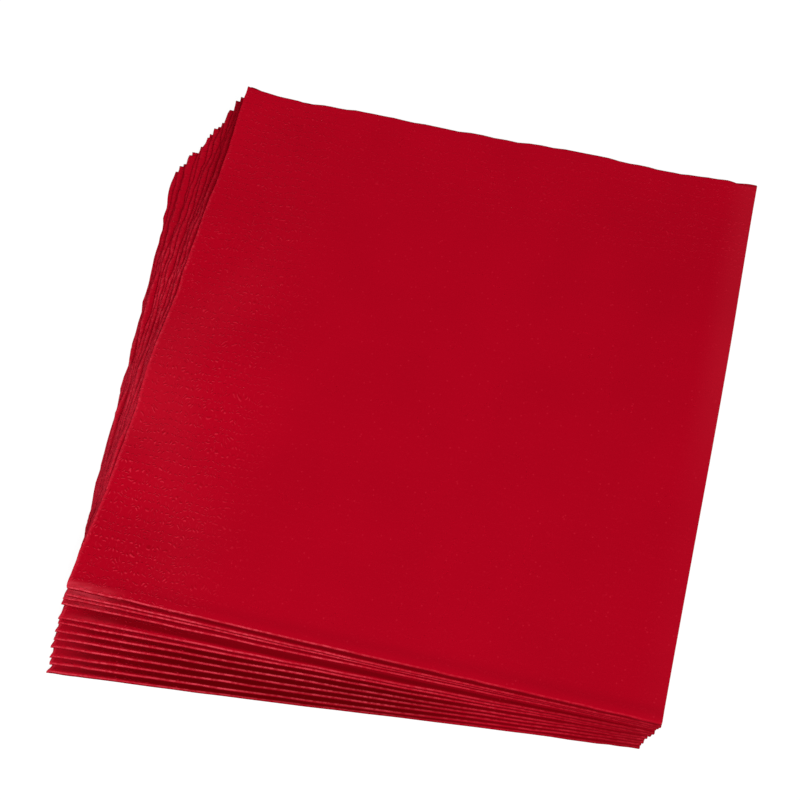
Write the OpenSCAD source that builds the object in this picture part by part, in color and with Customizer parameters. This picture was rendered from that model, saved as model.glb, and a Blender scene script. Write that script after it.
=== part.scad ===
// A stack of quarter-folded paper napkins, laid by hand into a slight fan.
// Each napkin is one sheet of tissue, nearly square, folded in half and then in half again.
// X runs along the front folds, Y from the front folds to the open edges, Z up.
// The origin is the centre of the bottom napkin's underside.

/* [Sheet] */
// Flat width of the sheet, halved by the first fold
sheet_w = 400; // [240:2:500]
// Flat length of the sheet, halved by the second fold
sheet_l = 406; // [240:2:500]
// Thickness of the sheet, all its plies together
sheet_t = 0.35; // [0.15:0.05:0.8]

/* [Folds] */
// Air between two leaves that lie on each other
leaf_gap = 0.15; // [0.05:0.05:0.5]
// How far the first fold lies off the middle, so that the inner leaves stop short at the left
first_fold_off = 0.5; // [0:0.1:4]
// How far the second fold lies off the middle, so that the lower half stops short at the back
second_fold_off = 0.6; // [0:0.1:4]

/* [Stack] */
// Number of napkins in the stack
napkin_count = 12; // [2:1:24]
// Air between two napkins that lie on each other
napkin_gap = 0.02; // [0.01:0.01:0.5]
// Turn of the top napkin against the bottom one, clockwise from above, in degrees
fan_turn = 6.4; // [0:0.1:15]
// Shift of the top napkin's closed corner to the right of the bottom one's
fan_shift_x = 5; // [-10:0.1:15]
// Shift of the top napkin's closed corner to the back of the bottom one's
fan_shift_y = 3.8; // [-10:0.1:15]
// How unevenly the napkins were laid: 0 is a perfect fan
unevenness = 1; // [0:0.1:2]

/* [Look] */
// Colour of the dyed tissue
paper_colour = "#AB041B"; // ["#AB041B":red, "#F2EFE8":white, "#1F3A6E":blue, "#2F6B3A":green]

/* [Hidden] */
$fn = 48;
// Small turn, in degrees, and shifts of each napkin off the even fan, from the bottom up
LAID_TURN = [0, 0.1, 0, 0, 0, -0.1, -0.2, -0.2, -0.3, -0.3, -0.1, 0];
LAID_X = [0, 0, 0, -0.1, 0, 0.1, 0.1, 0.1, -0.1, 0, -0.1, 0];
LAID_Y = [0, 0, -0.1, 0.2, 0.2, 0.1, -0.1, -0.3, 0.3, 0.1, -0.2, 0];

// Two leaves on each other, as the first fold makes them
pair_t = 2 * sheet_t + leaf_gap;
// Four leaves, as the second fold makes them
napkin_t = 2 * pair_t + leaf_gap;
// Outer radii of the two folds
first_r = pair_t / 2;
second_r = napkin_t / 2;
// Radii at mid-thickness, along which the paper keeps its length
first_mid_r = first_r - sheet_t / 2;
inner_mid_r = leaf_gap / 2 + sheet_t / 2;
outer_mid_r = second_r - sheet_t / 2;
// A quarter turn in radians: half of each fold lies on either side of its crest
quarter_turn = PI / 2;
// Paper that half of the first fold takes, and the flat widths of the leaves beside it
first_bend = quarter_turn * first_mid_r;
inner_leaf_w = sheet_w / 2 - first_fold_off - first_bend;
outer_leaf_w = sheet_w / 2 + first_fold_off - first_bend;
// Paper that half of the second fold takes from an inner and from an outer leaf
inner_bend = quarter_turn * inner_mid_r;
outer_bend = quarter_turn * outer_mid_r;
// Folded size of one napkin
folded_w = outer_leaf_w + first_r;
folded_l = sheet_l / 2 + second_fold_off - inner_bend + second_r;

// How far up the fan napkin i lies, from 0 for the bottom one to 1 for the top one
function rise(i) = i / (napkin_count - 1);
// Entry i of a list of small deviations, begun again for a higher stack
function laid(list, i) = unevenness * list[i % len(list)];

// One straight leaf, across the sheet from its open edge to the first fold
module leaf_section(width) {
    translate([0, -first_r - width])
        square([sheet_t, width]);
}

// The half ring in which the first fold joins two leaves
module first_fold_section() {
    translate([first_r, -first_r])
        difference() {
            circle(first_r);
            circle(leaf_gap / 2);
            translate([-first_r, -2 * first_r])
                square(2 * first_r);
        }
}

// Both leaves of the sheet once folded, seen along the first fold. The distance from the
// second fold's axis runs along X, and the open edge is at the low end of Y.
module pair_section() {
    translate([leaf_gap / 2, 0]) {
        leaf_section(inner_leaf_w);
        translate([sheet_t + leaf_gap, 0])
            leaf_section(outer_leaf_w);
        first_fold_section();
    }
}

// The flat half of a napkin above the second fold's axis, cut off at half_length of sheet
module flat_half(half_length) {
    outer_leaf_l = half_length - outer_bend;
    inner_leaf_l = half_length - inner_bend;
    rotate([0, -90, -90])
        linear_extrude(outer_leaf_l)
            pair_section();
    // The inner leaf takes the tighter bend, so its edge reaches past the outer one
    translate([-first_r - inner_leaf_w, 0, leaf_gap / 2])
        cube([inner_leaf_w, inner_leaf_l, sheet_t]);
}

// The second fold: the folded pair swept half a turn round the fold's axis
module second_fold() {
    rotate([180, -90, 0])
        rotate_extrude(angle = 180)
            pair_section();
}

// One napkin, with its closed corner at the origin and its underside at zero height
module napkin() {
    translate([0, second_r, second_r])
        union() {
            flat_half(sheet_l / 2 + second_fold_off);
            mirror([0, 0, 1])
                flat_half(sheet_l / 2 - second_fold_off);
            second_fold();
        }
}

// Napkin i of the stack, counted from 0 at the bottom, laid on the one below
module laid_napkin(i) {
    corner_x = folded_w / 2 + fan_shift_x * rise(i) + laid(LAID_X, i);
    corner_y = -folded_l / 2 + fan_shift_y * rise(i) + laid(LAID_Y, i);
    turn = -fan_turn * rise(i) + laid(LAID_TURN, i);
    color(paper_colour)
        translate([corner_x, corner_y, i * (napkin_t + napkin_gap)])
            rotate(turn)
                napkin();
}

for (i = [0:napkin_count - 1])
    laid_napkin(i);
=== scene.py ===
"""Looks of a fanned stack of quarter-folded paper napkins.

Each napkin is one flat sheet that is folded twice round its real fold lines, laid on the one below
and then softened with the whole stack, so that no two leaves ever cross.
"""

import math

import bmesh
import bpy
import numpy as np
from mathutils import Matrix, Vector


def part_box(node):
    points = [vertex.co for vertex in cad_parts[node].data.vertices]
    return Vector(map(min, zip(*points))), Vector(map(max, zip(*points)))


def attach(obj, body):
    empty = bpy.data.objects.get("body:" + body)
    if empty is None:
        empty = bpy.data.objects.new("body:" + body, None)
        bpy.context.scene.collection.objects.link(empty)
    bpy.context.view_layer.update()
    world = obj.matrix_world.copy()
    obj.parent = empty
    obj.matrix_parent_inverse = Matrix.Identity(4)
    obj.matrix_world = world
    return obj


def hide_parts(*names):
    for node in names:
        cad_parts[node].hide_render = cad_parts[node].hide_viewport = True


bl_info = {
    "name": "Stack of paper napkins",
    "version": (1, 0, 0),
    "blender": (4, 5, 0),
    "location": "3D View > Sidebar > Napkins",
    "description": "Folds and lays the napkins over the packed model, with floor, lamps and camera",
    "category": "Object",
}

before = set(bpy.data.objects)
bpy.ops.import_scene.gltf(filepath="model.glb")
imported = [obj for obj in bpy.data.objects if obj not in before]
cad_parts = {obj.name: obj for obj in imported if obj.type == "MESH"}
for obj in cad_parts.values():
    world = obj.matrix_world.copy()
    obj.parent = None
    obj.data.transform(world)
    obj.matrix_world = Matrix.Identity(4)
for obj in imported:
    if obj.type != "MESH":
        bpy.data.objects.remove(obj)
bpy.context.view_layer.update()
BODY = "root"
NAPKINS = sorted(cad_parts)

MM = 0.001
FLAT_MAP = "flat sheet"
# Half of each fold lies on either side of its crest
QUARTER_TURN = math.pi / 2
# Soft waves along the open left edge: share of the way back, width and height of each
WAVES = ((0.14, 0.05, -1.0), (0.22, 0.045, 1.0), (0.30, 0.05, -1.0), (0.42, 0.065, 1.3),
         (0.55, 0.06, -1.2))
# How far each napkin strays at its front left corner (out and to the front) and at its back left
# corner (out and back), in millimetres, from the bottom up
STRAYS = ((1.9, 0.2, -1.9, 2.0), (0.1, -0.4, -1.8, 0.9), (1.4, 0.5, -1.7, 0.4),
          (1.0, -0.1, 0.2, -0.9), (0.0, 0.2, -0.7, 0.2), (0.7, 0.4, -0.6, 0.7),
          (0.4, 0.1, -0.4, 1.5), (1.3, 1.2, -0.4, 0.9), (0.4, -0.1, -0.5, 2.0),
          (0.6, 0.3, -0.7, 2.2), (1.3, 0.9, -0.9, 2.0), (-0.8, 0.5, 0.0, 0.0))
# How the back edge of the top napkin wavers: share of the way left, width, and millimetres back
BACK_EDGE = ((0.84, 0.09, 1.1), (0.22, 0.06, -0.8), (0.08, 0.05, 0.5))
LAST = len(NAPKINS) - 1
# First seeds of the smooth random fields, and how far apart they lie from napkin to napkin
SWELL_SEED, SETTLE_SEED = 5, 11
CUT_SEED, CUT_SEED_STEP = 100, 7
OUTLINE_SEED, OUTLINE_SEED_STEP = 300, 11
# What the round folds add to the width and to the length of a folded napkin
ADDED_WIDTH = 0.03 * MM
ADDED_LENGTH = 0.53 * MM
# How far back the ridge lies, as a share of the top napkin
RIDGE_BACK = 0.67
# A front fold counts as free up to this distance before the next one begins. It puffs up by a
# share of that distance, is highest at another share of it, and falls off over a third one.
MOST_FREE = 0.006
PUFF_RISE, PUFF_CREST, PUFF_FALL = 0.27, 0.25, 0.5
KEY_LAMP_PLACE = (0.92, -1.18, 1.82)
FILL_LAMP_PLACE = (-1.00, -0.45, 0.75)
LAMP_SIDE = 0.6


# Settings


class NapkinSettings(bpy.types.PropertyGroup):
    """Sizes of the sheets and how softly they lie."""

    sheet_width: bpy.props.FloatProperty(
        name="Sheet width", description="Flat width, halved by the first fold",
        default=0.400, min=0.24, max=0.5, subtype="DISTANCE", unit="LENGTH")
    sheet_length: bpy.props.FloatProperty(
        name="Sheet length", description="Flat length, halved by the second fold",
        default=0.406, min=0.24, max=0.5, subtype="DISTANCE", unit="LENGTH")
    leaf_pitch: bpy.props.FloatProperty(
        name="Leaf pitch", description="Height that one leaf takes with the air above it",
        default=0.0005, min=0.0002, max=0.002, precision=5, subtype="DISTANCE", unit="LENGTH")
    fold_inset: bpy.props.FloatProperty(
        name="Fold inset", description="From the outside of a fold to the middle of its paper",
        default=0.000175, min=0.00005, max=0.001, precision=6, subtype="DISTANCE", unit="LENGTH")
    paper_thickness: bpy.props.FloatProperty(
        name="Paper thickness", description="Thickness of the pressed plies where they show",
        default=0.00022, min=0.0001, max=0.0008, precision=5, subtype="DISTANCE", unit="LENGTH")
    first_fold_off: bpy.props.FloatProperty(
        name="First fold off", description="How far the first fold lies off the middle",
        default=0.0005, min=0, max=0.004, precision=5, subtype="DISTANCE", unit="LENGTH")
    second_fold_off: bpy.props.FloatProperty(
        name="Second fold off", description="How far the second fold lies off the middle",
        default=0.0006, min=0, max=0.004, precision=5, subtype="DISTANCE", unit="LENGTH")
    front_left_sink: bpy.props.FloatProperty(
        name="Front left sink", description="How far the stack rolls down at the front left",
        default=0.0034, min=0, max=0.008, precision=4, subtype="DISTANCE", unit="LENGTH")
    front_right_lift: bpy.props.FloatProperty(
        name="Front right lift", description="How far the closed corner of the top napkin stands up",
        default=0.0016, min=0, max=0.006, precision=4, subtype="DISTANCE", unit="LENGTH")
    open_corner_lift: bpy.props.FloatProperty(
        name="Open corner lift", description="How far the loose back left corner curls up",
        default=0.0074, min=0, max=0.01, precision=4, subtype="DISTANCE", unit="LENGTH")
    ridge_lift: bpy.props.FloatProperty(
        name="Ridge lift", description="Height of the soft ridge two thirds of the way back",
        default=0.0014, min=0, max=0.006, precision=4, subtype="DISTANCE", unit="LENGTH")
    left_sag: bpy.props.FloatProperty(
        name="Left sag", description="How far the open left edge lies lower than the folds",
        default=0.0010, min=0, max=0.006, precision=4, subtype="DISTANCE", unit="LENGTH")
    back_right_droop: bpy.props.FloatProperty(
        name="Back right droop", description="How far the back right corner hangs down",
        default=0.0038, min=0, max=0.008, precision=4, subtype="DISTANCE", unit="LENGTH")
    edge_waves: bpy.props.FloatProperty(
        name="Edge waves", description="Height of the soft waves along the open left edge",
        default=0.0007, min=0, max=0.002, precision=5, subtype="DISTANCE", unit="LENGTH")
    fold_puff: bpy.props.FloatProperty(
        name="Fold puff", description="How far a front fold that lies free puffs up",
        default=0.0007, min=0, max=0.0015, precision=5, subtype="DISTANCE", unit="LENGTH")
    leaf_fan: bpy.props.FloatProperty(
        name="Leaf fan", description="Share of the fan's slide that a napkin's loose leaves take up",
        default=0.95, min=0, max=1)
    looseness: bpy.props.FloatProperty(
        name="Looseness", description="How unevenly the leaves settle on each other",
        default=0.00045, min=0, max=0.001, precision=5, subtype="DISTANCE", unit="LENGTH")
    lay_wander: bpy.props.FloatProperty(
        name="Lay wander", description="How far a napkin's outline strays from a true rectangle",
        default=0.0004, min=0, max=0.002, precision=5, subtype="DISTANCE", unit="LENGTH")
    cut_waver: bpy.props.FloatProperty(
        name="Cut waver", description="How far the cut edges stray from a straight line",
        default=0.00055, min=0, max=0.001, precision=5, subtype="DISTANCE", unit="LENGTH")


class PaperSettings(bpy.types.PropertyGroup):
    """Colours and surface of the dyed tissue, with the colours of its painted highlights and painted
    shade.
    """

    paper_colour: bpy.props.FloatVectorProperty(
        name="Paper", description="Colour of the dyed tissue, linear",
        default=(0.456, 0.0009, 0.0128), size=3, min=0, max=1, subtype="COLOR")
    # Also the colour of painted shade away from the open edge and toward the fold side
    thick_and_shaded_colour: bpy.props.FloatVectorProperty(
        name="Thick and shaded paper", description="Colour where the tissue is thickest, and of painted shade away from the open edge, linear",
        default=(0.388, 0.0007, 0.0104), size=3, min=0, max=1, subtype="COLOR")
    # Painted shade under the folds, on strips covered by the next napkin, along the cut ends and
    # under the curled corner
    painted_shade_colour: bpy.props.FloatVectorProperty(
        name="Groove", description="Colour of painted shade under folds, between napkins and under the curled corner, linear",
        default=(0.135, 0.0001, 0.0012), size=3, min=0, max=1, subtype="COLOR")
    # Painted shade on the side of each embossed arc away from the lamp
    arc_shade_colour: bpy.props.FloatVectorProperty(
        name="Painted arc shade", description="Colour on the shaded side of an embossed arc, linear",
        default=(0.285, 0.0002, 0.0040), size=3, min=0, max=1, subtype="COLOR")
    # Painted highlight on the lit side of each embossed arc, and the lighter tone of lint and cut
    # fibres
    light_fibre_and_highlight_colour: bpy.props.FloatVectorProperty(
        name="Light fibres and painted highlight", description="Colour on the lit side of an embossed arc, linear",
        default=(0.630, 0.015, 0.038), size=3, min=0, max=1, subtype="COLOR")
    # Fluffed fibres, and painted highlights on the crest and roll of the folds
    fluff_and_highlight_colour: bpy.props.FloatVectorProperty(
        name="Fluff and painted highlight", description="Colour of fluffed fibres, and of painted highlights on the folds, linear",
        default=(0.740, 0.060, 0.092), size=3, min=0, max=1, subtype="COLOR")
    border_width: bpy.props.FloatProperty(
        name="Embossed border", description="Width of the embossed border along the cut edges",
        default=0.044, min=0, max=0.1, subtype="DISTANCE", unit="LENGTH")
    emboss_depth: bpy.props.FloatProperty(
        name="Emboss depth", description="Height of the embossed arcs",
        default=0.00013, min=0, max=0.0005, precision=6, subtype="DISTANCE", unit="LENGTH")


class StageSettings(bpy.types.PropertyGroup):
    """Floor, lamps and camera."""

    floor_size: bpy.props.FloatProperty(
        name="Floor size", description="Side of the floor",
        default=6.0, min=1, max=20, subtype="DISTANCE", unit="LENGTH")
    floor_colour: bpy.props.FloatVectorProperty(
        name="Floor", description="Colour of the floor, linear",
        default=(0.18, 0.18, 0.18), size=3, min=0, max=1, subtype="COLOR")
    floor_glow: bpy.props.FloatProperty(
        name="Floor glow", description="White that is seen in the floor but lights nothing",
        default=0.90, min=0, max=1)
    room_light: bpy.props.FloatProperty(
        name="Room light", description="Strength of the even light from all round",
        default=0.33, min=0, max=2)
    key_power: bpy.props.FloatProperty(
        name="Key lamp", description="Power of the large soft lamp at the front right",
        default=38.5, min=0, max=200, unit="POWER")
    fill_power: bpy.props.FloatProperty(
        name="Fill lamp", description="Power of the soft lamp at the left",
        default=4.6, min=0, max=200, unit="POWER")
    camera_azimuth: bpy.props.FloatProperty(
        name="Camera azimuth", description="Turn of the camera from the front to the right",
        default=math.radians(17.91), subtype="ANGLE", unit="ROTATION")
    camera_elevation: bpy.props.FloatProperty(
        name="Camera elevation", description="Height of the camera above the floor",
        default=math.radians(65.44), subtype="ANGLE", unit="ROTATION")
    camera_roll: bpy.props.FloatProperty(
        name="Camera roll", description="Turn of the camera about its own view",
        default=math.radians(-10.66), subtype="ANGLE", unit="ROTATION")
    camera_distance: bpy.props.FloatProperty(
        name="Camera distance", description="From the camera to its target",
        default=0.4794, min=0.1, max=5, precision=4, subtype="DISTANCE", unit="LENGTH")
    camera_target: bpy.props.FloatVectorProperty(
        name="Camera target", description="Point on the floor that the camera looks at",
        default=(0.0051, 0.01222, 0.0), size=3, precision=4, subtype="XYZ", unit="LENGTH")
    camera_lens: bpy.props.FloatProperty(
        name="Camera lens", description="Focal length on a 36 mm sensor, in millimetres",
        default=58.5, min=20, max=200)


def add_object(name, data):
    """A new object in the scene, with this mesh, lamp or camera."""
    thing = bpy.data.objects.new(name, data)
    bpy.context.scene.collection.objects.link(thing)
    return thing


# Node groups and the paper


class Nodes:
    """Short calls for laying out a node tree."""

    def __init__(self, tree):
        self.tree = tree

    def add(self, kind, **values):
        """A new node with these attributes."""
        node = self.tree.nodes.new(kind)
        for name, value in values.items():
            setattr(node, name, value)
        return node

    def link(self, source, target):
        """Feeds an input from a socket, or sets it to a number or a tuple."""
        if isinstance(source, (int, float, tuple)):
            target.default_value = source
        else:
            self.tree.links.new(source, target)

    def result(self, node, sources):
        """What a node makes of these sources, one for each of its first inputs."""
        for socket, source in zip(node.inputs, sources):
            self.link(source, socket)
        return node.outputs[0]

    def math(self, operation, *sources):
        return self.result(self.add("ShaderNodeMath", operation=operation), sources)

    def times(self, first, *others):
        """The product of two or more numbers."""
        for other in others:
            first = self.math("MULTIPLY", first, other)
        return first

    def distance(self, across, along):
        """The length of the way that goes across and along by these numbers."""
        squares = self.math("ADD", self.math("POWER", across, 2.0), self.math("POWER", along, 2.0))
        return self.math("SQRT", squares)

    def vector(self, operation, *sources):
        return self.result(self.add("ShaderNodeVectorMath", operation=operation), sources)

    def split(self, vector):
        """The X, Y and Z of a vector."""
        node = self.add("ShaderNodeSeparateXYZ")
        self.link(vector, node.inputs[0])
        return node.outputs

    def fade(self, source, low, high, start=0.0, end=1.0):
        """A soft step of source from start at low to end at high."""
        node = self.add("ShaderNodeMapRange", interpolation_type="SMOOTHSTEP")
        return self.result(node, (source, low, high, start, end))

    def noise(self, vector, scale, detail=2.0, stretch=None):
        """Smooth noise, drawn out along the axes where stretch is below 1."""
        if stretch:
            vector = self.vector("MULTIPLY", vector, stretch)
        node = self.add("ShaderNodeTexNoise")
        self.link(vector, node.inputs["Vector"])
        node.inputs["Scale"].default_value = scale
        node.inputs["Detail"].default_value = detail
        return node.outputs["Fac"]


def fresh_nodes(owner):
    """The emptied node tree of a material or a world."""
    owner.use_nodes = True
    owner.node_tree.nodes.clear()
    return Nodes(owner.node_tree)


def new_group(name, vectors_in, numbers_in, vectors_out, numbers_out):
    """A node group, its nodes, and the sockets that it is given and has to feed, by name. Each
    input comes with the value that it starts from, or None."""
    tree = bpy.data.node_groups.new(name, "ShaderNodeTree")
    for kind, inputs in (("NodeSocketVector", vectors_in), ("NodeSocketFloat", numbers_in)):
        for label, start in inputs.items():
            socket = tree.interface.new_socket(name=label, in_out="INPUT", socket_type=kind)
            if start is not None:
                socket.default_value = start
    for kind, labels in (("NodeSocketVector", vectors_out), ("NodeSocketFloat", numbers_out)):
        for label in labels:
            tree.interface.new_socket(name=label, in_out="OUTPUT", socket_type=kind)
    nodes = Nodes(tree)
    return tree, nodes, nodes.add("NodeGroupInput").outputs, nodes.add("NodeGroupOutput").inputs


def sheet_place_group():
    """Turns the flat map into millimetres from the folds and from the nearest cut edge."""
    tree, n, given, made = new_group(
        "Place on the sheet",
        {"Map": None, "Sheet": (400, 406, 0), "Folds": (0.5, 0.5, 0)}, {},
        ["Flat"], ["From first fold", "Above second fold", "From side cut", "From end cut"])
    flat_map, sheet = given["Map"], given["Sheet"]
    n.link(n.vector("MULTIPLY", flat_map, sheet), made["Flat"])
    centred = n.vector("SUBTRACT", flat_map, given["Folds"])
    from_folds = n.split(n.vector("MULTIPLY", centred, sheet))
    n.link(n.math("ABSOLUTE", from_folds["X"]), made["From first fold"])
    n.link(from_folds["Y"], made["Above second fold"])
    middle = (0.5, 0.5, 0.0)
    from_middle = n.vector("ABSOLUTE", n.vector("SUBTRACT", flat_map, middle))
    from_cuts = n.split(n.vector("MULTIPLY", n.vector("SUBTRACT", middle, from_middle), sheet))
    n.link(from_cuts["X"], made["From side cut"])
    n.link(from_cuts["Y"], made["From end cut"])
    return tree


def arc_ring(n, arm, ring, count, start):
    """Short raised arcs on one ring: 1 along the middle of an arc and 0 between them."""
    off_ring = n.math("ABSOLUTE", n.math("SUBTRACT", n.distance(arm["X"], arm["Y"]), ring))
    on_ring = n.fade(off_ring, 0.05, 0.28, 1.0, 0.0)
    angle = n.math("ARCTAN2", arm["Y"], arm["X"])
    turn = n.math("COSINE", n.math("ADD", n.times(angle, count), start))
    # Arcs that run across the light show most
    along = n.fade(n.math("ABSOLUTE", n.math("SINE", angle)), 0.30, 0.90, 0.3, 1.0)
    return n.times(on_ring, along, n.fade(turn, -0.40, 0.20))


def emboss_group():
    """Rosettes of small raised arcs, as plain napkins have along their edges, in millimetres, with a
    painted highlight on the lit side of each arc and painted shade behind it.
    """
    tree, n, given, made = new_group(
        "Pressed arcs", {"Flat": None, "Place": None},
        {"From first fold": 0.0, "From side cut": 0.0, "From end cut": 0.0, "Border": 44.0},
        [], ["Height", "Light", "Dark"])
    cell = 6.2
    most_stray = 6.0
    shade_behind = 0.42
    flat, place = given["Flat"], given["Place"]
    drift = n.add("ShaderNodeTexNoise")
    drift.inputs["Scale"].default_value = 0.14
    n.link(flat, drift.inputs["Vector"])
    stray = n.vector("MULTIPLY", n.vector("SUBTRACT", drift.outputs["Color"], (0.5, 0.5, 0.5)),
                     (most_stray, most_stray, 0.0))
    in_cells = n.vector("MULTIPLY", n.vector("ADD", flat, stray), (1 / cell, 1 / cell, 0.0))

    def arm_from(middle, shift):
        """Where a point lies from the middle of its rosette, with the pattern moved by shift."""
        moved = n.vector("ADD", in_cells, (middle, middle + shift / cell, 0.0))
        share = n.vector("SUBTRACT", n.vector("FRACTION", moved), (0.5, 0.5, 0.0))
        return n.split(n.vector("MULTIPLY", share, (cell, cell, 0.0)))

    def arcs_at(shift):
        """The arcs of all rosettes, with the pattern moved by shift."""
        rosette = arm_from(0.0, shift)
        between = arm_from(0.5, shift)
        both_rings = n.math("MAXIMUM", arc_ring(n, rosette, 2.0, 6.0, 0.4),
                            arc_ring(n, rosette, 1.0, 3.0, 1.1))
        return n.math("MAXIMUM", both_rings, arc_ring(n, between, 1.5, 5.0, 2.0))

    arcs = arcs_at(0.0)
    # Painted shade: the side of each arc that faces away from the lamp lies just behind it
    behind = arcs_at(-shade_behind)
    pressed = n.fade(n.noise(place, 430.0), 0.34, 0.50)
    patchy = n.fade(n.noise(place, 90.0, 1.0), 0.36, 0.60, 0.50, 1.0)
    by_fold = n.fade(given["From first fold"], 5.0, 70.0, 0.70, 0.40)
    toward_folds = n.fade(given["From end cut"], 35.0, 165.0, by_fold, 1.0)
    past_side = n.math("SUBTRACT", given["From side cut"], given["Border"])
    past_end = n.math("SUBTRACT", given["From end cut"], given["Border"])
    border = n.math("MAXIMUM", n.fade(past_side, -20.0, 16.0, 1.0, 0.08),
                    n.fade(past_end, -16.0, 2.0, 0.45, 0.08))
    shown = n.times(n.times(border, patchy), n.times(pressed, toward_folds))
    # Height is the relief; Light and Dark are its painted highlight and painted shade
    n.link(n.times(arcs, border), made["Height"])
    n.link(n.times(arcs, shown), made["Light"])
    n.link(n.times(behind, shown), made["Dark"])
    return tree


def tissue_group():
    """Fibres, fine creping, slow mottling and specks of lint of dyed tissue."""
    tree, n, given, made = new_group(
        "Tissue fibres", {"Flat": None, "Place": None}, {}, [], ["Height", "Deep", "Lint"])
    flat = given["Flat"]
    fibres = n.noise(flat, 1.5, 3.0, stretch=(1.0, 0.42, 1.0))
    creping = n.noise(flat, 1.1, 1.0, stretch=(0.25, 1.0, 1.0))
    n.link(n.math("ADD", n.times(fibres, 0.7), n.times(creping, 0.3)), made["Height"])
    cloudy = n.noise(given["Place"], 38.0)
    thick = n.math("ADD", n.times(cloudy, 0.6), n.times(fibres, 0.4))
    n.link(n.fade(thick, 0.30, 0.70), made["Deep"])
    specks = n.add("ShaderNodeTexVoronoi", voronoi_dimensions="2D")
    specks.inputs["Scale"].default_value = 0.21
    n.link(flat, specks.inputs["Vector"])
    in_patches = n.fade(n.noise(flat, 0.11, 1.0), 0.46, 0.58)
    near_speck = n.fade(specks.outputs["Distance"], 0.03, 0.08, 1.0, 0.0)
    n.link(n.times(near_speck, in_patches), made["Lint"])
    return tree


def fold_fibres_light_and_shade_group():
    """Fluffed fibres and a painted highlight on the crest of the front fold, a painted highlight on
    its roll at the left, a side fold that is lighter, most toward the back, painted shade in the
    groove under a front fold, and painted shade on the strip behind it that the next napkin covers.
    Fades by front and side are in millimetres from a fold, and those by up in metres above the
    floor."""
    tree, n, given, made = new_group(
        "Fold wear", {"Place": None}, {"From first fold": 0.0, "Above second fold": 0.0},
        [], ["Crest", "Roll", "Turn", "Groove", "Covered"])
    place = given["Place"]
    up = n.split(place)["Z"]
    front, side = given["Above second fold"], given["From first fold"]

    # Fluffed fibres with a painted highlight along the crest of the front fold, broken up
    broken = n.times(n.fade(n.noise(place, 620.0), 0.38, 0.58, 0.35, 1.0),
                     n.fade(n.noise(place, 75.0, 1.0), 0.36, 0.58, 0.62, 1.12))
    on_front = n.times(n.fade(front, 0.38, 0.60), n.fade(front, 0.80, 1.00, 1.0, 0.0),
                       n.fade(side, 15.0, 185.0, 0.55, 1.0), n.fade(up, 0.0015, 0.0028, 0.35, 1.0))
    on_side = n.fade(side, 0.2, 0.7, 0.08, 0.0)
    n.link(n.times(n.math("MAXIMUM", on_front, on_side), broken), made["Crest"])

    # Painted highlight along the loose napkin's front roll at the left
    on_roll = n.times(n.fade(front, 0.6, 1.5), n.fade(front, 1.8, 4.2, 1.0, 0.0),
                      n.fade(up, 0.0125, 0.0162), n.fade(side, 176.0, 199.0))
    streaks = n.fade(n.noise(place, 800.0, stretch=(0.2, 1.0, 1.0)), 0.35, 0.60, 0.55, 1.15)
    n.link(n.times(on_roll, streaks), made["Roll"])
    # Lighter along the side fold, most toward the back
    on_turn = n.fade(side, 1.0, 12.0, 1.0, 0.0)
    n.link(n.times(on_turn, n.fade(front, 60.0, 130.0, 0.25, 1.0)), made["Turn"])
    # Painted shade in the groove under a front fold
    in_groove = n.times(n.fade(front, -3.0, -0.6), n.fade(front, 0.0, 0.45, 1.0, 0.0))
    n.link(n.times(in_groove, n.fade(side, 10.0, 190.0, 0.85, 1.0)), made["Groove"])

    # The fan leaves a strip free before the next napkin begins: this much at the closed corner,
    # and more with each millimetre from it
    free_at_corner, more_free = 0.55, 0.0100
    share = n.math("DIVIDE", front, n.math("ADD", n.times(side, more_free), free_at_corner))
    # Low in the stack the shade begins nearer the fold, except toward the fold's ends
    low_down = n.times(n.fade(up, 0.0095, 0.0150, 1.0, 0.0), n.fade(side, 30.0, 95.0),
                       n.fade(side, 140.0, 190.0, 1.0, 0.45))
    begin = n.fade(low_down, 0.0, 1.0, 0.45, 0.10)
    on_strip = n.times(n.fade(share, begin, n.math("ADD", begin, 0.55)),
                       n.fade(share, 1.7, 2.6, 1.0, 0.0), n.fade(low_down, 0.0, 1.0, 0.66, 1.0),
                       n.fade(side, 186.0, 201.0, 1.0, 0.12))
    # Painted shade on the strip that the next napkin covers, kept off the painted roll highlight
    n.link(n.times(on_strip, n.math("SUBTRACT", 1.0, on_roll)), made["Covered"])
    return tree


def cut_fibres_light_and_shade_group():
    """The lighter cut at the left side with its loose flecks of fibre, with painted light that grows
    toward the front, and the painted shadow of the top napkin's curled corner on the leaves under
    it."""
    tree, n, given, made = new_group(
        "Cut wear", {"Place": None}, {"From side cut": 0.0, "From end cut": 0.0},
        [], ["Cut", "Fluff", "Gap"])
    place, from_end = given["Place"], given["From end cut"]
    # Lighter cut fibres, with painted light that grows toward the front
    lit = n.times(n.fade(given["From side cut"], 0.2, 1.5, 1.0, 0.0),
                  n.fade(from_end, 15.0, 80.0, 0.20, 1.0))
    fluff = n.noise(place, 1100.0, stretch=(1.0, 0.34, 1.0))
    least = n.fade(from_end, 75.0, 135.0, 0.30, 0.80)
    n.link(n.times(lit, n.fade(fluff, 0.46, 0.62, least, 1.0)), made["Cut"])
    flecks = n.noise(place, 1500.0, 1.0, stretch=(1.0, 0.6, 1.0))
    n.link(n.times(lit, n.fade(flecks, 0.54, 0.66)), made["Fluff"])
    # Painted shadow of the loose napkin's curled corner on the upper leaves under it
    under_curl = n.times(n.fade(n.split(place)["Z"], 0.0110, 0.0200),
                         n.fade(from_end, 22.0, 75.0, 1.0, 0.0))
    n.link(under_curl, made["Gap"])
    return tree


def paper_groups():
    """The node groups that both papers share, in the order in which they feed each other."""
    return sheet_place_group(), emboss_group(), tissue_group(), fold_fibres_light_and_shade_group(), cut_fibres_light_and_shade_group()


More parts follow.
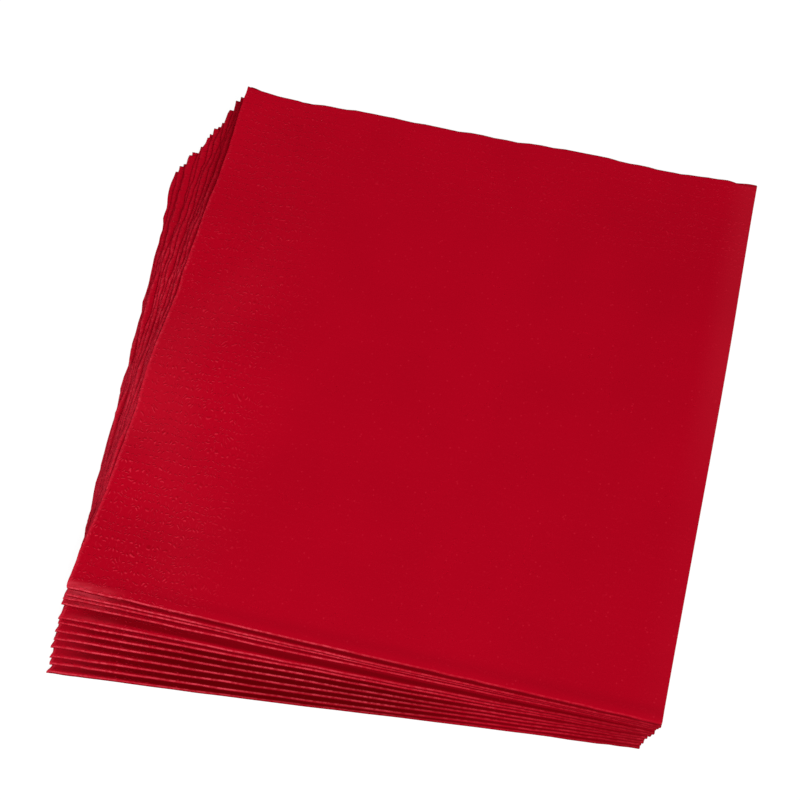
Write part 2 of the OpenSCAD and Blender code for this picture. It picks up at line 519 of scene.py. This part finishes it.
def place_group(n, tree, sources):
    """A group node, each of whose inputs takes the source of its name. Returns its outputs."""
    node = n.add("ShaderNodeGroup")
    node.node_tree = tree
    for socket in node.inputs:
        n.link(sources[socket.name], socket)
    return node.outputs


def mixed(n, share, first, second):
    """The first colour, with this share of the second mixed in."""
    mix = n.add("ShaderNodeMix", data_type="RGBA")
    n.link(share, mix.inputs["Factor"])
    first_socket, second_socket, result = mix.inputs[6], mix.inputs[7], mix.outputs[2]
    for socket, colour in ((first_socket, first), (second_socket, second)):
        n.link((*colour, 1) if isinstance(colour, tuple) else colour, socket)
    return result


def paper_material(name, napkin, paper, groups, loose):
    """Dyed tissue with a pressed border and fibres, mapped on the flat sheet, with painted
    highlights on folds, cuts and arcs and painted shade under folds, between napkins and behind
    arcs. The loose top napkin shows its whole upper side, where the others get painted shade from
    the napkin over them."""
    material = bpy.data.materials.new(name)
    n = fresh_nodes(material)
    place = n.add("ShaderNodeTexCoord").outputs["Object"]
    sources = {
        "Map": n.add("ShaderNodeUVMap", uv_map=FLAT_MAP).outputs["UV"],
        "Place": place,
        "Sheet": (napkin.sheet_width / MM, napkin.sheet_length / MM, 0),
        "Folds": (0.5 - napkin.first_fold_off / napkin.sheet_width,
                  0.5 - napkin.second_fold_off / napkin.sheet_length, 0),
        "Border": paper.border_width / MM,
    }
    sheet = place_group(n, groups[0], sources)
    sources.update({socket.name: socket for socket in sheet})
    arcs, tissue, fold_fibres_light_and_shade, cut_fibres_light_and_shade = [place_group(n, group, sources) for group in groups[1:]]
    from_side, from_end = sheet["From side cut"], sheet["From end cut"]

    # Thicker tissue darkens at random; painted light brightens a soft patch near the open edge, and
    # painted shade darkens the rest, most toward the fold side
    painted_light_side, painted_light_end = 22.0, 138.0
    off_painted_light = n.distance(n.math("SUBTRACT", from_side, painted_light_side),
                           n.math("SUBTRACT", from_end, painted_light_end))
    deep = n.math("ADD", n.times(tissue["Deep"], 0.3), n.fade(off_painted_light, 12.0, 50.0, -0.10, 0.45))
    deep = n.math("ADD", deep, n.fade(from_side, 110.0, 180.0, 0.0, 0.20))
    colour = mixed(n, deep, tuple(paper.paper_colour), tuple(paper.thick_and_shaded_colour))

    # The colours mixed over the dye: fluffed fibres with painted highlights, lighter fibres with
    # painted highlights, painted shade, and the painted shade behind the arcs
    fluff_and_highlight, raised = tuple(paper.fluff_and_highlight_colour), tuple(paper.light_fibre_and_highlight_colour)
    groove, pressed = tuple(paper.painted_shade_colour), tuple(paper.arc_shade_colour)
    # Painted shade along the cut ends
    painted_end_shade = n.fade(from_end, 0.15, 0.45, 0.5, 0.0)
    # Lighter patches near the open left edge, weaker near the cut ends
    bloom = n.times(n.fade(n.noise(place, 26.0, 0.0), 0.40, 0.66),
                    n.fade(from_side, 15.0, 55.0, 0.035, 0.0),
                    n.fade(from_end, 20.0, 120.0, 0.1, 1.0))
    # Fibres and painted highlight on the crest turn paler where the folds lie open, toward the left
    crest = mixed(n, n.fade(sheet["From first fold"], 10.0, 120.0, 0.10, 1.0), raised, fluff_and_highlight)
    # What is mixed over the dye, from the lowest up, painted shade and painted highlights among it:
    # where it shows, how strongly on the loose napkin and on the covered ones, and its colour
    layers = (
        # Painted shade in the groove under the front fold, on the strip the next napkin covers and
        # along the cut ends
        (fold_fibres_light_and_shade["Groove"], 1.0, 1.0, groove),
        (fold_fibres_light_and_shade["Covered"], 0.0, 0.95, groove),
        (painted_end_shade, 1.0, 1.0, groove),
        (bloom, 1.0, 1.0, fluff_and_highlight),
        # Painted shade and painted highlight on the two sides of each embossed arc
        (arcs["Dark"], 0.60, 0.21, pressed),
        (arcs["Light"], 1.0, 0.35, raised),
        (tissue["Lint"], 0.30, 0.30, raised),
        # Painted highlight along the loose napkin's front roll, and a lighter side fold
        (fold_fibres_light_and_shade["Roll"], 0.42, 0.62, fluff_and_highlight),
        (fold_fibres_light_and_shade["Turn"], 0.055, 0.055, fluff_and_highlight),
        # Fluffed fibres with a painted highlight on the front fold's crest
        (fold_fibres_light_and_shade["Crest"], 0.75, 0.75, crest),
        # Lighter cut fibres with painted light, flecks of fibre, and the painted shadow of the
        # curled corner
        (cut_fibres_light_and_shade["Cut"], 0.60, 0.90, raised),
        (cut_fibres_light_and_shade["Fluff"], 0.28, 0.28, fluff_and_highlight),
        (cut_fibres_light_and_shade["Gap"], 0.0, 0.26, groove),
    )
    for mask, on_loose, on_covered, over in layers:
        strength = on_loose if loose else on_covered
        if strength:
            colour = mixed(n, n.times(mask, strength), colour, over)

    fibre_height = 0.025
    height = n.math("ADD", n.times(arcs["Height"], paper.emboss_depth / MM),
                    n.times(tissue["Height"], fibre_height))
    bump = n.add("ShaderNodeBump")
    bump.inputs["Strength"].default_value = 1.0
    bump.inputs["Distance"].default_value = MM
    n.link(height, bump.inputs["Height"])

    shader = n.add("ShaderNodeBsdfPrincipled")
    n.link(colour, shader.inputs["Base Color"])
    n.link(n.fade(tissue["Height"], 0.2, 0.8, 0.86, 0.96), shader.inputs["Roughness"])
    shader.inputs["Specular IOR Level"].default_value = 0.01
    shader.inputs["Sheen Weight"].default_value = 0.06
    shader.inputs["Sheen Roughness"].default_value = 0.5
    shader.inputs["Sheen Tint"].default_value = (1.0, 0.06, 0.12, 1)
    n.link(bump.outputs["Normal"], shader.inputs["Normal"])
    n.link(shader.outputs["BSDF"], n.add("ShaderNodeOutputMaterial").inputs["Surface"])
    return material


# How a napkin is folded, laid and softened


def bump_curve(value, middle, width):
    """1 at middle, fading smoothly to 0 about two widths away."""
    return np.exp(-((value - middle) / width) ** 2)


def near_corner(first, first_reach, second, second_reach):
    """1 in a corner, fading away from it over these shares of the napkin's two sides."""
    return np.exp(-first / first_reach - second / second_reach)


def soft_step(value, low, high):
    """0 below low, 1 above high, smooth between."""
    share = np.clip((value - low) / (high - low), 0, 1)
    return share * share * (3 - 2 * share)


def wander(place, size, seed, waves=7):
    """A smooth field of about -1 to 1 whose swells are about size apart along each axis."""
    random = np.random.default_rng(seed)
    total = np.zeros(len(place))
    for _ in range(waves):
        way = random.normal(size=3)
        way /= np.linalg.norm(way)
        turns = way * random.uniform(0.7, 1.35) * 2 * math.pi / np.asarray(size)
        total += np.sin(place @ turns + random.uniform(0, 2 * math.pi))
    return total / math.sqrt(waves)


def rungs(half, fold_off, bend, bend_steps, leaf_steps):
    """Places of the grid's lines across a fold: close round the fold and at the cut edges."""
    # 0 would space the lines of a leaf evenly, and 1 would crowd them most at its ends
    crowding = 0.86
    share = np.linspace(0, 1, leaf_steps + 1)[1:]
    eased = share - crowding * np.sin(2 * math.pi * share) / (2 * math.pi)
    ring = np.linspace(-bend, bend, bend_steps + 1)
    low = -(bend + (half - fold_off - bend) * eased[::-1])
    high = bend + (half + fold_off - bend) * eased
    return np.concatenate((low, ring, high))


def flat_sheet(name, across, along):
    """A flat grid whose lines lie at these places, with the sheet's own map. Returns it and the
    distances of its points from the first and from the second fold."""
    mesh = bpy.data.meshes.new(name)
    grid = bmesh.new()
    grid.loops.layers.uv.new(FLAT_MAP)
    bmesh.ops.create_grid(grid, x_segments=len(across) - 1, y_segments=len(along) - 1, size=0.5)
    grid.to_mesh(mesh)
    grid.free()
    count = len(mesh.vertices)
    place = np.zeros(count * 3)
    mesh.vertices.foreach_get("co", place)
    place = place.reshape(count, 3)
    column = np.rint((place[:, 0] + 0.5) * (len(across) - 1)).astype(int)
    row = np.rint((place[:, 1] + 0.5) * (len(along) - 1)).astype(int)
    s, t = across[column], along[row]
    corner = np.zeros(len(mesh.loops), int)
    mesh.loops.foreach_get("vertex_index", corner)
    u = (s - across[0]) / (across[-1] - across[0])
    v = (t - along[0]) / (along[-1] - along[0])
    mesh.uv_layers[FLAT_MAP].uv.foreach_set("vector", np.stack((u[corner], v[corner]), 1).ravel())
    return mesh, s, t


def folded(s, t, napkin):
    """Where points of the flat sheet lie once it is folded twice: left of the closed corner,
    back of it and above the underside. s counts from the first fold and t from the second."""
    pitch, inset = napkin.leaf_pitch, napkin.fold_inset
    tight = pitch / 2
    reach = QUARTER_TURN * tight
    bent = np.abs(s) < reach
    left = np.where(bent, -tight * np.cos(s / tight), np.abs(s) - reach) + inset + tight
    height = inset + tight + np.where(bent, tight * np.sin(s / tight), np.sign(s) * tight)
    from_axis = height + tight - inset
    reach = QUARTER_TURN * from_axis
    bent = np.abs(t) < reach
    middle = inset + 3 * tight
    back = np.where(bent, -from_axis * np.cos(t / from_axis), np.abs(t) - reach) + middle
    up = middle + np.where(bent, from_axis * np.sin(t / from_axis), np.sign(t) * from_axis)
    return left, back, up


def lie_of(node, napkin):
    """Closed corner, turn and underside of a packed napkin, read off its box."""
    low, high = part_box(node)
    width = napkin.sheet_width / 2 + napkin.first_fold_off + ADDED_WIDTH
    depth = napkin.sheet_length / 2 + napkin.second_fold_off + ADDED_LENGTH
    span = math.hypot(width, depth)
    turn = math.atan2(depth, width) - math.acos(min(1, (high.x - low.x) / span))
    return low.x + width * math.cos(turn), low.y, turn, low.z


def laid(left, back, up, lie):
    """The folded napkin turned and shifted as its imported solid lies."""
    corner_x, corner_y, turn, underside = lie
    x = corner_x - left * math.cos(turn) + back * math.sin(turn)
    y = corner_y + left * math.sin(turn) + back * math.cos(turn)
    return np.stack((x, y, underside + up), 1)


def shares(left, back, napkin):
    """Distances from the closed corner as shares of a folded napkin's width and length."""
    return left * 2 / napkin.sheet_width, back * 2 / napkin.sheet_length


def on_top_napkin(place, lie, napkin):
    """Shares of the way from the closed corner to the left and to the back of the top napkin."""
    corner_x, corner_y, turn, _ = lie
    x, y = place[:, 0] - corner_x, place[:, 1] - corner_y
    left = -x * math.cos(turn) + y * math.sin(turn)
    back = x * math.sin(turn) + y * math.cos(turn)
    return shares(left, back, napkin)


def corner_curl(place, lie, napkin):
    """How far the loose back left corner of the top napkin curls up over each place, in metres."""
    left, back = on_top_napkin(place, lie, napkin)
    from_left, from_back = np.maximum(1 - left, 0), np.maximum(1 - back, 0)
    reach_left, reach_back = 0.10, 0.24
    away = np.hypot(from_left / reach_left, from_back / reach_back)
    return napkin.open_corner_lift * np.exp(-away)


def top_shift(place, lie, napkin):
    """How far the top of the stack is raised or lowered over each place, in metres. The reaches are
    shares of a napkin."""
    left, back = on_top_napkin(place, lie, napkin)
    from_left = np.maximum(1 - left, 0)
    right, front = np.maximum(left, 0), np.maximum(back, 0)
    behind_ridge = np.maximum(back - RIDGE_BACK, 0)
    before_ridge = np.maximum(RIDGE_BACK - back, 0)
    rise = -napkin.front_left_sink * near_corner(from_left, 0.13, front, 0.16)
    rise += napkin.front_right_lift * near_corner(right, 0.35, front, 0.30)
    rise += napkin.ridge_lift * np.exp(-(behind_ridge / 0.17) ** 2 - (before_ridge / 0.30) ** 2)
    rise -= napkin.left_sag * np.exp(-from_left / 0.18) * bump_curve(back, 0.35, 0.35)
    rise -= napkin.back_right_droop * soft_step(back, 0.60, 1.02) * soft_step(1 - right, 0.52, 1.0)
    swell = np.zeros(len(place))
    for crest, width, height in WAVES:
        swell += height * bump_curve(back, crest, width)
    rise += napkin.edge_waves * swell * np.exp(-from_left / 0.22)
    rise += 0.3 * MM * wander(place * (1, 1, 0), 0.12, SWELL_SEED)
    return rise


def softened(place, lie, napkin):
    """The stack as it settles: its layers rise, sink and spread together, and never cross."""
    _, stack_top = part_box(NAPKINS[-1])
    share = place[:, 2] / stack_top.z
    left, back = on_top_napkin(place, lie, napkin)
    # The leaves lie loose near the open edges, and less so in the middle
    edge_reach = 0.09
    near_open = np.exp(-np.abs(1 - left) / edge_reach) + np.exp(-np.abs(1 - back) / edge_reach)
    loose = 0.35 + 0.65 * np.clip(near_open, 0, 1)
    settle = wander(place, (0.07, 0.07, 0.020), SETTLE_SEED)
    settle = settle + 0.5 * wander(place, (0.022, 0.022, 0.014), SETTLE_SEED + 1)
    settle *= napkin.looseness * loose * soft_step(place[:, 2], 0, 0.003)
    result = place.copy()
    # The upper half of the top napkin curls up most, off its lower half
    above_fold = place[:, 2] - lie[3] - 2 * napkin.leaf_pitch
    curled = 0.60 * soft_step(above_fold, -0.25 * MM, 0.10 * MM) + 0.40 * share ** 8
    lifted = share * top_shift(place, lie, napkin) + curled * corner_curl(place, lie, napkin)
    result[:, 2] += lifted + settle
    return result


def cut_waver(s, t, half_s, half_t, napkin, seed, is_top):
    """The flat sheet's points with the cut edges strayed a little, in the plane of the paper."""
    place = np.stack((s, t, np.zeros(len(s))), 1)
    slow = wander(place, 0.045, seed)
    slow = slow + 0.6 * wander(place, 0.014, seed + 1) + 0.4 * wander(place, 0.006, seed + 2)
    size = napkin.cut_waver * (0.6 if is_top else 1.0)
    reach = 0.02
    near_s = soft_step(np.abs(s), half_s - reach, half_s)
    near_t = soft_step(np.abs(t), half_t - reach, half_t)
    if is_top:
        # The sheet is cut a little out of square, so that its outer leaf covers the inner one
        outer, inner = soft_step(s, 0, reach), soft_step(-s, 0, reach)
        t = t + MM * (0.35 * outer - 1.0 * inner) * near_t * (t > 0)
        s = s + MM * near_s * (0.2 * outer + 0.6 * inner)
    return s + np.sign(s) * near_s * size * slow, t + np.sign(t) * near_t * size * slow


def fanned(left, back, up, index, napkin):
    """The loose leaves of a napkin slide as the stack is fanned: lower ones stand out further at the
    left and upper ones further at the back, and the folds keep their place."""
    across, deep = shares(left, back, napkin)
    thickness = 4 * napkin.leaf_pitch
    # The two halves of the loose top napkin hold together more
    slide = napkin.leaf_fan * (0.55 if index == LAST else 1.0)
    above = slide * (up / thickness - index / LAST)
    first, last = lie_of(NAPKINS[0], napkin), lie_of(NAPKINS[-1], napkin)
    turn = (first[2] - last[2]) / LAST
    to_right, to_back = (last[0] - first[0]) / LAST, (last[1] - first[1]) / LAST
    more_left = -above * (to_right + turn * np.maximum(back, 0)) * np.maximum(across, 0) ** 2
    more_back = above * (to_back + turn * np.maximum(left, 0)) * np.maximum(deep, 0) ** 2
    return left + more_left, back + more_back


def strayed(left, back, index, napkin):
    """A napkin's outline, a little off a true rectangle, with a front fold that wavers."""
    seed = OUTLINE_SEED + OUTLINE_SEED_STEP * index
    flat = np.stack((left, back, np.zeros(len(left))), 1)
    across, deep = shares(left, back, napkin)
    from_left, from_back = np.maximum(1 - across, 0), np.maximum(1 - deep, 0)
    more_left = 0.6 * napkin.lay_wander * wander(flat, 0.16, seed)
    more_back = 0.6 * napkin.lay_wander * wander(flat, 0.16, seed + 1)
    mid_stack = math.sin(math.pi * index / LAST)
    front_out, front_bow, back_out, back_on = (MM * value for value in STRAYS[index])
    # The front fold runs out at the left and bows a little in the middle
    more_left += 0.8 * MM * near_corner(from_left, 0.12, deep, 0.12)
    more_left += front_out * near_corner(from_left, 0.04, np.maximum(back, 0), 1.6 * MM)
    more_left += back_out * across * np.exp(-from_back / 0.40)
    more_left -= 0.6 * MM * across * (1 - index / LAST) * np.exp(-deep / 0.35)
    more_back -= front_bow * near_corner(from_left, 0.35, deep, 0.3)
    more_back += back_on * near_corner(from_left, 0.3, from_back, 0.3)
    more_back -= (0.9 - 0.5 * mid_stack) * MM * across * np.exp(-deep / 0.5)
    more_back -= 0.4 * MM * bump_curve(across, 0.5, 0.3) * np.exp(-deep / 0.3)
    if index == LAST - 1:
        # The corner of the napkin under the loose one shows beside it
        corner = MM * near_corner(from_left, 0.13, from_back, 0.13)
        more_left += 1.3 * corner
        more_back += 0.8 * corner
    if index == LAST:
        # The left edge of the loose napkin is drawn in, and both its left corners stand out
        corner = near_corner(from_left, 0.25, from_back, 0.25)
        more_left += 1.1 * MM * near_corner(from_left, 0.12, deep, 0.12)
        more_left -= across * MM * (0.35 + 1.5 * bump_curve(deep, 0.20, 0.13)) + 1.4 * MM * corner
        more_left -= 1.2 * MM * across * bump_curve(deep, 0.80, 0.20)
        more_left += 0.4 * MM * (1 - across) * (1 - deep)
        more_back += 0.4 * MM * (1 - across) * deep ** 4 - 0.2 * MM * corner
        for middle, width, more in BACK_EDGE:
            more_back += more * MM * bump_curve(across, middle, width) * deep ** 4
    # The front fold itself is finely crinkled
    crinkle = 0.09 * MM * wander(flat, 0.008, seed + 2) * np.exp(-back / 0.006)
    return left + more_left, back + more_back + crinkle


def front_line(index, left, lie, napkin):
    """Where a napkin's front fold runs, as points over these distances from its closed corner."""
    more_left, back = strayed(left, np.zeros(len(left)), index, napkin)
    return laid(more_left, back, np.zeros(len(left)), lie)


def puffed(left, back, up, index, napkin):
    """The upper side of the front fold puffs up as far as the napkin above leaves it free."""
    pitch = napkin.leaf_pitch
    if index == LAST:
        free = np.full(len(left), MOST_FREE)
    else:
        lie, above = lie_of(NAPKINS[index], napkin), lie_of(NAPKINS[index + 1], napkin)
        steps = np.linspace(-0.002, napkin.sheet_width / 2 + 0.004, 120)
        own = front_line(index, steps, lie, napkin)
        other = front_line(index + 1, steps, above, napkin)
        turn = lie[2]
        gap = (other - own) @ np.array((math.sin(turn), math.cos(turn), 0))
        free = np.clip(np.interp(left, steps, gap), 0, MOST_FREE)
    height = np.clip(PUFF_RISE * free, 0, napkin.fold_puff)
    crest = np.clip(free, pitch, None) * PUFF_CREST
    past = np.maximum(back - crest, 0) / np.clip(PUFF_FALL * free, 0.2 * MM, None)
    share = np.exp(-past ** 2)
    upper = soft_step(up, 1.2 * pitch, 3.4 * pitch)
    return up + height * share * upper


def make_napkin(node, index, napkin, material, top_lie):
    """One napkin, from a flat sheet to its place in the stack."""
    is_top = index == LAST
    leaf_steps_across, leaf_steps_along = (80, 96) if is_top else (36, 78)
    bend_steps = 10 if is_top else 8
    half_s, half_t = napkin.sheet_width / 2, napkin.sheet_length / 2
    bend = QUARTER_TURN * napkin.leaf_pitch / 2
    across = rungs(half_s, napkin.first_fold_off, bend, bend_steps, leaf_steps_across)
    along = rungs(half_t, napkin.second_fold_off, 3 * bend, bend_steps + 4, leaf_steps_along)
    name = "folded_" + node
    mesh, s, t = flat_sheet(name, across, along)
    seed = CUT_SEED + CUT_SEED_STEP * index
    s, t = cut_waver(s, t, half_s, half_t, napkin, seed, is_top)
    left, back, up = folded(s, t, napkin)
    left, back = fanned(left, back, up, index, napkin)
    up = puffed(left, back, up, index, napkin)
    left, back = strayed(left, back, index, napkin)
    place = softened(laid(left, back, up, lie_of(node, napkin)), top_lie, napkin)
    mesh.vertices.foreach_set("co", place.ravel())
    mesh.polygons.foreach_set("use_smooth", np.ones(len(mesh.polygons), bool))
    mesh.materials.append(material)
    piece = add_object(name, mesh)
    solidify = piece.modifiers.new("Paper thickness", "SOLIDIFY")
    solidify.thickness = napkin.paper_thickness
    solidify.offset = 0.0
    return piece


# Operators


class NAPKINS_OT_fold_stack(bpy.types.Operator):
    """Fold every napkin of the stack and lay it on the one below"""

    bl_idname = "napkins.fold_stack"
    bl_label = "Fold the napkins"

    def execute(self, context):
        napkin, paper = context.scene.napkin_settings, context.scene.paper_settings
        groups = paper_groups()
        covered = paper_material("napkin paper", napkin, paper, groups, False)
        loose = paper_material("top napkin paper", napkin, paper, groups, True)
        top_lie = lie_of(NAPKINS[-1], napkin)
        for index, node in enumerate(NAPKINS):
            material = loose if index == LAST else covered
            piece = make_napkin(node, index, napkin, material, top_lie)
            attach(piece, BODY)
            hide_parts(node)
        return {"FINISHED"}


class NAPKINS_OT_set_stage(bpy.types.Operator):
    """Set the white floor, the soft lamps and the camera"""

    bl_idname = "napkins.set_stage"
    bl_label = "Set the stage"

    def execute(self, context):
        stage = context.scene.napkin_stage
        make_floor(stage)
        make_light(stage)
        make_camera(stage)
        context.scene.view_settings.view_transform = "Standard"
        return {"FINISHED"}


def seen_rays(n):
    """1 for rays from the camera, also once reflected or refracted, and 0 for rays that light."""
    rays = n.add("ShaderNodeLightPath")
    passed_on = n.math("MAXIMUM", rays.outputs["Is Glossy Ray"], rays.outputs["Is Transmission Ray"])
    return n.math("MAXIMUM", rays.outputs["Is Camera Ray"], passed_on)


def make_floor(stage):
    """A plain floor that keeps the shadow of the stack and is otherwise seen as white."""
    mesh = bpy.data.meshes.new("floor")
    plane = bmesh.new()
    bmesh.ops.create_grid(plane, x_segments=1, y_segments=1, size=stage.floor_size / 2)
    plane.to_mesh(mesh)
    plane.free()
    floor = add_object("floor", mesh)
    material = bpy.data.materials.new("pale floor")
    n = fresh_nodes(material)
    diffuse = n.add("ShaderNodeBsdfDiffuse")
    diffuse.inputs["Color"].default_value = (*stage.floor_colour, 1)
    glow = n.add("ShaderNodeEmission")
    n.link(n.math("MULTIPLY", seen_rays(n), stage.floor_glow), glow.inputs["Strength"])
    both = n.add("ShaderNodeAddShader")
    n.link(diffuse.outputs[0], both.inputs[0])
    n.link(glow.outputs[0], both.inputs[1])
    n.link(both.outputs[0], n.add("ShaderNodeOutputMaterial").inputs["Surface"])
    mesh.materials.append(material)


def aim(place, target):
    """A matrix that looks from place to target."""
    turn = (Vector(target) - Vector(place)).to_track_quat("-Z", "Y")
    return Matrix.Translation(place) @ turn.to_matrix().to_4x4()


def make_light(stage):
    """Even light from all round in front of white, and two square lamps."""
    world = bpy.data.worlds.new("studio")
    n = fresh_nodes(world)
    background = n.add("ShaderNodeBackground")
    background.inputs["Color"].default_value = (1, 1, 1, 1)
    level = n.fade(seen_rays(n), 0.0, 1.0, stage.room_light, 1.0)
    n.link(level, background.inputs["Strength"])
    n.link(background.outputs[0], n.add("ShaderNodeOutputWorld").inputs["Surface"])
    bpy.context.scene.world = world

    for name, power, place in (("key lamp", stage.key_power, KEY_LAMP_PLACE),
                               ("fill lamp", stage.fill_power, FILL_LAMP_PLACE)):
        lamp = bpy.data.lights.new(name, "AREA")
        lamp.energy = power
        lamp.shape = "SQUARE"
        lamp.size = LAMP_SIDE
        add_object(name, lamp).matrix_world = aim(place, (0, 0, 0))


def make_camera(stage):
    """The camera of the photograph, turned round its target and rolled about its own view."""
    azimuth, elevation, roll = stage.camera_azimuth, stage.camera_elevation, stage.camera_roll
    back = Vector((math.sin(azimuth) * math.cos(elevation), -math.cos(azimuth) * math.cos(elevation),
                   math.sin(elevation)))
    right = Vector((0, 0, 1)).cross(back).normalized()
    up = back.cross(right)
    rolled_right = math.cos(roll) * right + math.sin(roll) * up
    rolled_up = math.cos(roll) * up - math.sin(roll) * right
    place = Vector(stage.camera_target) + stage.camera_distance * back
    data = bpy.data.cameras.new("camera")
    data.sensor_width = 36.0
    data.lens = stage.camera_lens
    data.clip_start = 0.01
    camera = add_object("camera", data)
    turn = Matrix((rolled_right, rolled_up, back)).transposed()
    camera.matrix_world = Matrix.Translation(place) @ turn.to_4x4()
    bpy.context.scene.camera = camera


class NAPKINS_PT_panel(bpy.types.Panel):
    """Lists the steps that dress the stack"""

    bl_idname = "NAPKINS_PT_panel"
    bl_label = "Napkins"
    bl_space_type = "VIEW_3D"
    bl_region_type = "UI"
    bl_category = "Napkins"

    def draw(self, context):
        layout = self.layout
        scene = context.scene
        for settings in (scene.napkin_settings, scene.paper_settings, scene.napkin_stage):
            box = layout.box()
            for name in settings.__annotations__:
                box.prop(settings, name)
        for operator in STEPS:
            layout.operator(operator.bl_idname)


STEPS = (NAPKINS_OT_fold_stack, NAPKINS_OT_set_stage)
CLASSES = (NapkinSettings, PaperSettings, StageSettings, *STEPS, NAPKINS_PT_panel)


def register():
    """Adds the settings, the steps and the panel to Blender."""
    for kind in CLASSES:
        bpy.utils.register_class(kind)
    bpy.types.Scene.napkin_settings = bpy.props.PointerProperty(type=NapkinSettings)
    bpy.types.Scene.paper_settings = bpy.props.PointerProperty(type=PaperSettings)
    bpy.types.Scene.napkin_stage = bpy.props.PointerProperty(type=StageSettings)


def unregister():
    """Takes them out again."""
    del bpy.types.Scene.napkin_stage
    del bpy.types.Scene.paper_settings
    del bpy.types.Scene.napkin_settings
    for kind in reversed(CLASSES):
        bpy.utils.unregister_class(kind)


def main():
    """Makes the whole scene."""
    register()
    bpy.ops.napkins.fold_stack()
    bpy.ops.napkins.set_stage()


if __name__ == "__main__":
    main()
